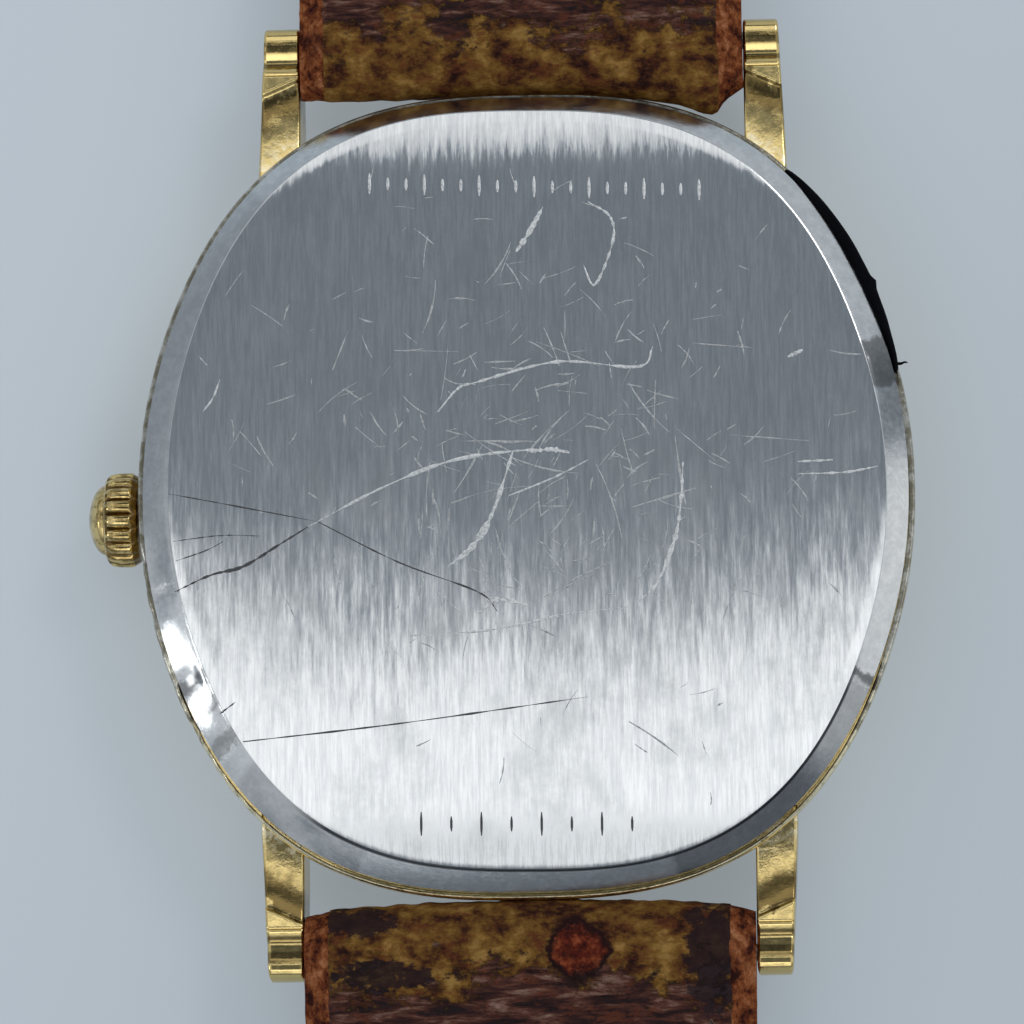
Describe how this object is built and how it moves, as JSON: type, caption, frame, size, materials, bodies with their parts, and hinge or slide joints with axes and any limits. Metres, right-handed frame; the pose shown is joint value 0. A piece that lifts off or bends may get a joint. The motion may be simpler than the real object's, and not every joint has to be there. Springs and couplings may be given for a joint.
{
  "type": "wristwatch",
  "caption": "Cushion-shaped dress watch with a press-fit steel back, ribbed crown, claw lugs and a two-piece leather strap with a tang buckle, opened flat.",
  "frame": {"origin": "centre of the crystal's flat outer face, which the watch lies on", "axes": "+Z out of the case back, +Y towards twelve o'clock along the strap, -X towards the crown"},
  "size_m": [0.0337, 0.2316, 0.0063],
  "materials": {
    "gold_plate": "polished gold-tone plate, worn at the edges",
    "steel_back": "brushed lengthwise, polished sloping edge",
    "crystal_glass": "flat polished mineral glass",
    "dial_paint": "ivory satin paint",
    "movement_brass": "fine grained",
    "nickel_steel": "nickel plated",
    "gasket_rubber": "black nitrile",
    "nylon": "moulded",
    "circuit_board": "green solder mask",
    "copper_winding": "enamelled copper wire",
    "magnet": "sintered",
    "upper_leather": "brown, grained",
    "lining_leather": "dark brown lining, worn tan at the lugs"
  },
  "bodies": {
    "case": {"case_middle": "gold_plate", "crystal": "crystal_glass", "crystal_gasket": "gasket_rubber", "case_back": "steel_back", "back_gasket": "gasket_rubber", "dial": "dial_paint", "hour_marker_12": "gold_plate", "hour_marker_03": "gold_plate", "hour_marker_06": "gold_plate", "hour_marker_09": "gold_plate", "movement_ring": "nylon", "main_plate": "movement_brass", "train_bridge": "movement_brass", "bridge_screw_a": "nickel_steel", "bridge_screw_b": "nickel_steel", "coil_screw_a": "nickel_steel", "coil_screw_b": "nickel_steel", "circuit_board": "circuit_board", "quartz_crystal_can": "nickel_steel", "battery": "nickel_steel", "battery_clamp": "nickel_steel", "coil": "copper_winding", "stator": "nickel_steel", "crown_tube": "nickel_steel"},
    "clutch_carrier": {"yoke": "nickel_steel"},
    "clutch": {"clutch_wheel": "nickel_steel"},
    "crown": {"crown": "gold_plate", "stem": "nickel_steel", "crown_gasket": "gasket_rubber"},
    "setting_lever": {"setting_lever": "nickel_steel"},
    "seconds": {"fourth_wheel": "movement_brass", "second_hand": "gold_plate"},
    "rotor": {"rotor": "magnet"},
    "fifth_wheel": {"fifth_wheel": "movement_brass"},
    "third_wheel": {"third_wheel": "movement_brass"},
    "center_wheel": {"center_wheel": "movement_brass"},
    "minutes": {"cannon_pinion": "nickel_steel", "minute_hand": "gold_plate"},
    "minute_wheel": {"minute_wheel": "movement_brass"},
    "hours": {"hour_wheel": "movement_brass", "hour_hand": "gold_plate"},
    "setting_wheel": {"setting_wheel": "movement_brass"},
    "strap_12": {"strap_12_upper": "upper_leather", "strap_12_lining": "lining_leather", "spring_bar_12": "nickel_steel", "buckle_bar": "nickel_steel", "fixed_keeper": "upper_leather"},
    "strap_6": {"strap_6_upper": "upper_leather", "strap_6_lining": "lining_leather", "spring_bar_6": "nickel_steel"},
    "bar_12_tip_left": {"spring_bar_12_tip_left": "nickel_steel"},
    "bar_12_tip_right": {"spring_bar_12_tip_right": "nickel_steel"},
    "bar_6_tip_left": {"spring_bar_6_tip_left": "nickel_steel"},
    "bar_6_tip_right": {"spring_bar_6_tip_right": "nickel_steel"},
    "buckle": {"buckle_frame": "gold_plate"},
    "tongue": {"buckle_tongue": "gold_plate"},
    "free_keeper": {"free_keeper": "upper_leather"}
  },
  "joints": [
    {"name": "strap_12_fold", "type": "hinge", "parent": "case", "child": "strap_12", "pos_m": [0, 0.01862, 0.00435], "axis": [1, 0, 0], "range_deg": [-75, 90]},
    {"name": "strap_6_fold", "type": "hinge", "parent": "case", "child": "strap_6", "pos_m": [0, -0.01862, 0.00435], "axis": [-1, 0, 0], "range_deg": [-75, 90]},
    {"name": "buckle_swing", "type": "hinge", "parent": "strap_12", "child": "buckle", "pos_m": [0, 0.09062, 0.00285], "axis": [1, 0, 0], "range_deg": [-70, 70]},
    {"name": "tongue_swing", "type": "hinge", "parent": "buckle", "child": "tongue", "pos_m": [0, 0.09062, 0.00285], "axis": [-1, 0, 0], "range_deg": [0, 100]},
    {"name": "free_keeper_slide", "type": "slide", "parent": "strap_12", "child": "free_keeper", "axis": [0, -1, 0], "range_m": [-0.006, 0.016]},
    {"name": "bar_12_tip_left_press", "type": "slide", "parent": "strap_12", "child": "bar_12_tip_left", "axis": [1, 0, 0], "range_m": [0, 0.0012], "stiffness_N_per_m": 250, "springref_m": -0.002},
    {"name": "bar_12_tip_right_press", "type": "slide", "parent": "strap_12", "child": "bar_12_tip_right", "axis": [-1, 0, 0], "range_m": [0, 0.0012], "stiffness_N_per_m": 250, "springref_m": -0.002},
    {"name": "bar_6_tip_left_press", "type": "slide", "parent": "strap_6", "child": "bar_6_tip_left", "axis": [1, 0, 0], "range_m": [0, 0.0012], "stiffness_N_per_m": 250, "springref_m": -0.002},
    {"name": "bar_6_tip_right_press", "type": "slide", "parent": "strap_6", "child": "bar_6_tip_right", "axis": [-1, 0, 0], "range_m": [0, 0.0012], "stiffness_N_per_m": 250, "springref_m": -0.002},
    {"name": "clutch_shift", "type": "slide", "parent": "case", "child": "clutch_carrier", "axis": [1, 0, 0], "range_m": [0, 0.0004]},
    {"name": "crown_turn", "type": "hinge", "parent": "clutch_carrier", "child": "clutch", "pos_m": [-0.008, -0.00045, 0.0031], "axis": [1, 0, 0], "continuous": true},
    {"name": "crown_pull", "type": "slide", "parent": "clutch", "child": "crown", "axis": [-1, 0, 0], "range_m": [0, 0.001]},
    {"name": "setting_lever_tilt", "type": "hinge", "parent": "case", "child": "setting_lever", "pos_m": [-0.00885, 0.00355, 0.0036], "axis": [0, 0, -1], "range_deg": [0, 8.7]},
    {"name": "second_hand_turn", "type": "hinge", "parent": "case", "child": "seconds", "pos_m": [0, 0, 0.004], "axis": [0, 0, -1], "continuous": true},
    {"name": "third_wheel_turn", "type": "hinge", "parent": "case", "child": "third_wheel", "pos_m": [-0.00044, 0.00251, 0.004], "axis": [0, 0, -1], "continuous": true},
    {"name": "center_wheel_turn", "type": "hinge", "parent": "case", "child": "center_wheel", "pos_m": [0, 0, 0.0036], "axis": [0, 0, -1], "continuous": true},
    {"name": "fifth_wheel_turn", "type": "hinge", "parent": "case", "child": "fifth_wheel", "pos_m": [0.0023, 0.00084, 0.004], "axis": [0, 0, -1], "continuous": true},
    {"name": "rotor_turn", "type": "hinge", "parent": "case", "child": "rotor", "pos_m": [0.0032, 0.0024, 0.004], "axis": [0, 0, -1], "continuous": true},
    {"name": "minute_hand_turn", "type": "hinge", "parent": "case", "child": "minutes", "pos_m": [0, 0, 0.0027], "axis": [0, 0, -1], "continuous": true},
    {"name": "minute_wheel_turn", "type": "hinge", "parent": "case", "child": "minute_wheel", "pos_m": [-0.00218, -0.00101, 0.0027], "axis": [0, 0, -1], "continuous": true},
    {"name": "hour_hand_turn", "type": "hinge", "parent": "case", "child": "hours", "pos_m": [0, 0, 0.0024], "axis": [0, 0, -1], "continuous": true},
    {"name": "setting_wheel_turn", "type": "hinge", "parent": "case", "child": "setting_wheel", "pos_m": [-0.00515, -0.0006, 0.0027], "axis": [0, 0, -1], "continuous": true}
  ],
  "couplings": [
    {"joint": "clutch_shift", "follows": "crown_pull", "ratio": 0.4},
    {"joint": "setting_lever_tilt", "follows": "crown_pull", "rad_per_m": 150},
    {"joint": "third_wheel_turn", "follows": "second_hand_turn", "ratio": -0.13333},
    {"joint": "center_wheel_turn", "follows": "second_hand_turn", "ratio": 0.016667},
    {"joint": "fifth_wheel_turn", "follows": "second_hand_turn", "ratio": -6},
    {"joint": "rotor_turn", "follows": "second_hand_turn", "ratio": 30},
    {"joint": "minute_wheel_turn", "follows": "minute_hand_turn", "ratio": -0.33333},
    {"joint": "hour_hand_turn", "follows": "minute_hand_turn", "ratio": 0.083333},
    {"joint": "setting_wheel_turn", "follows": "minute_hand_turn", "ratio": 0.5}
  ]
}
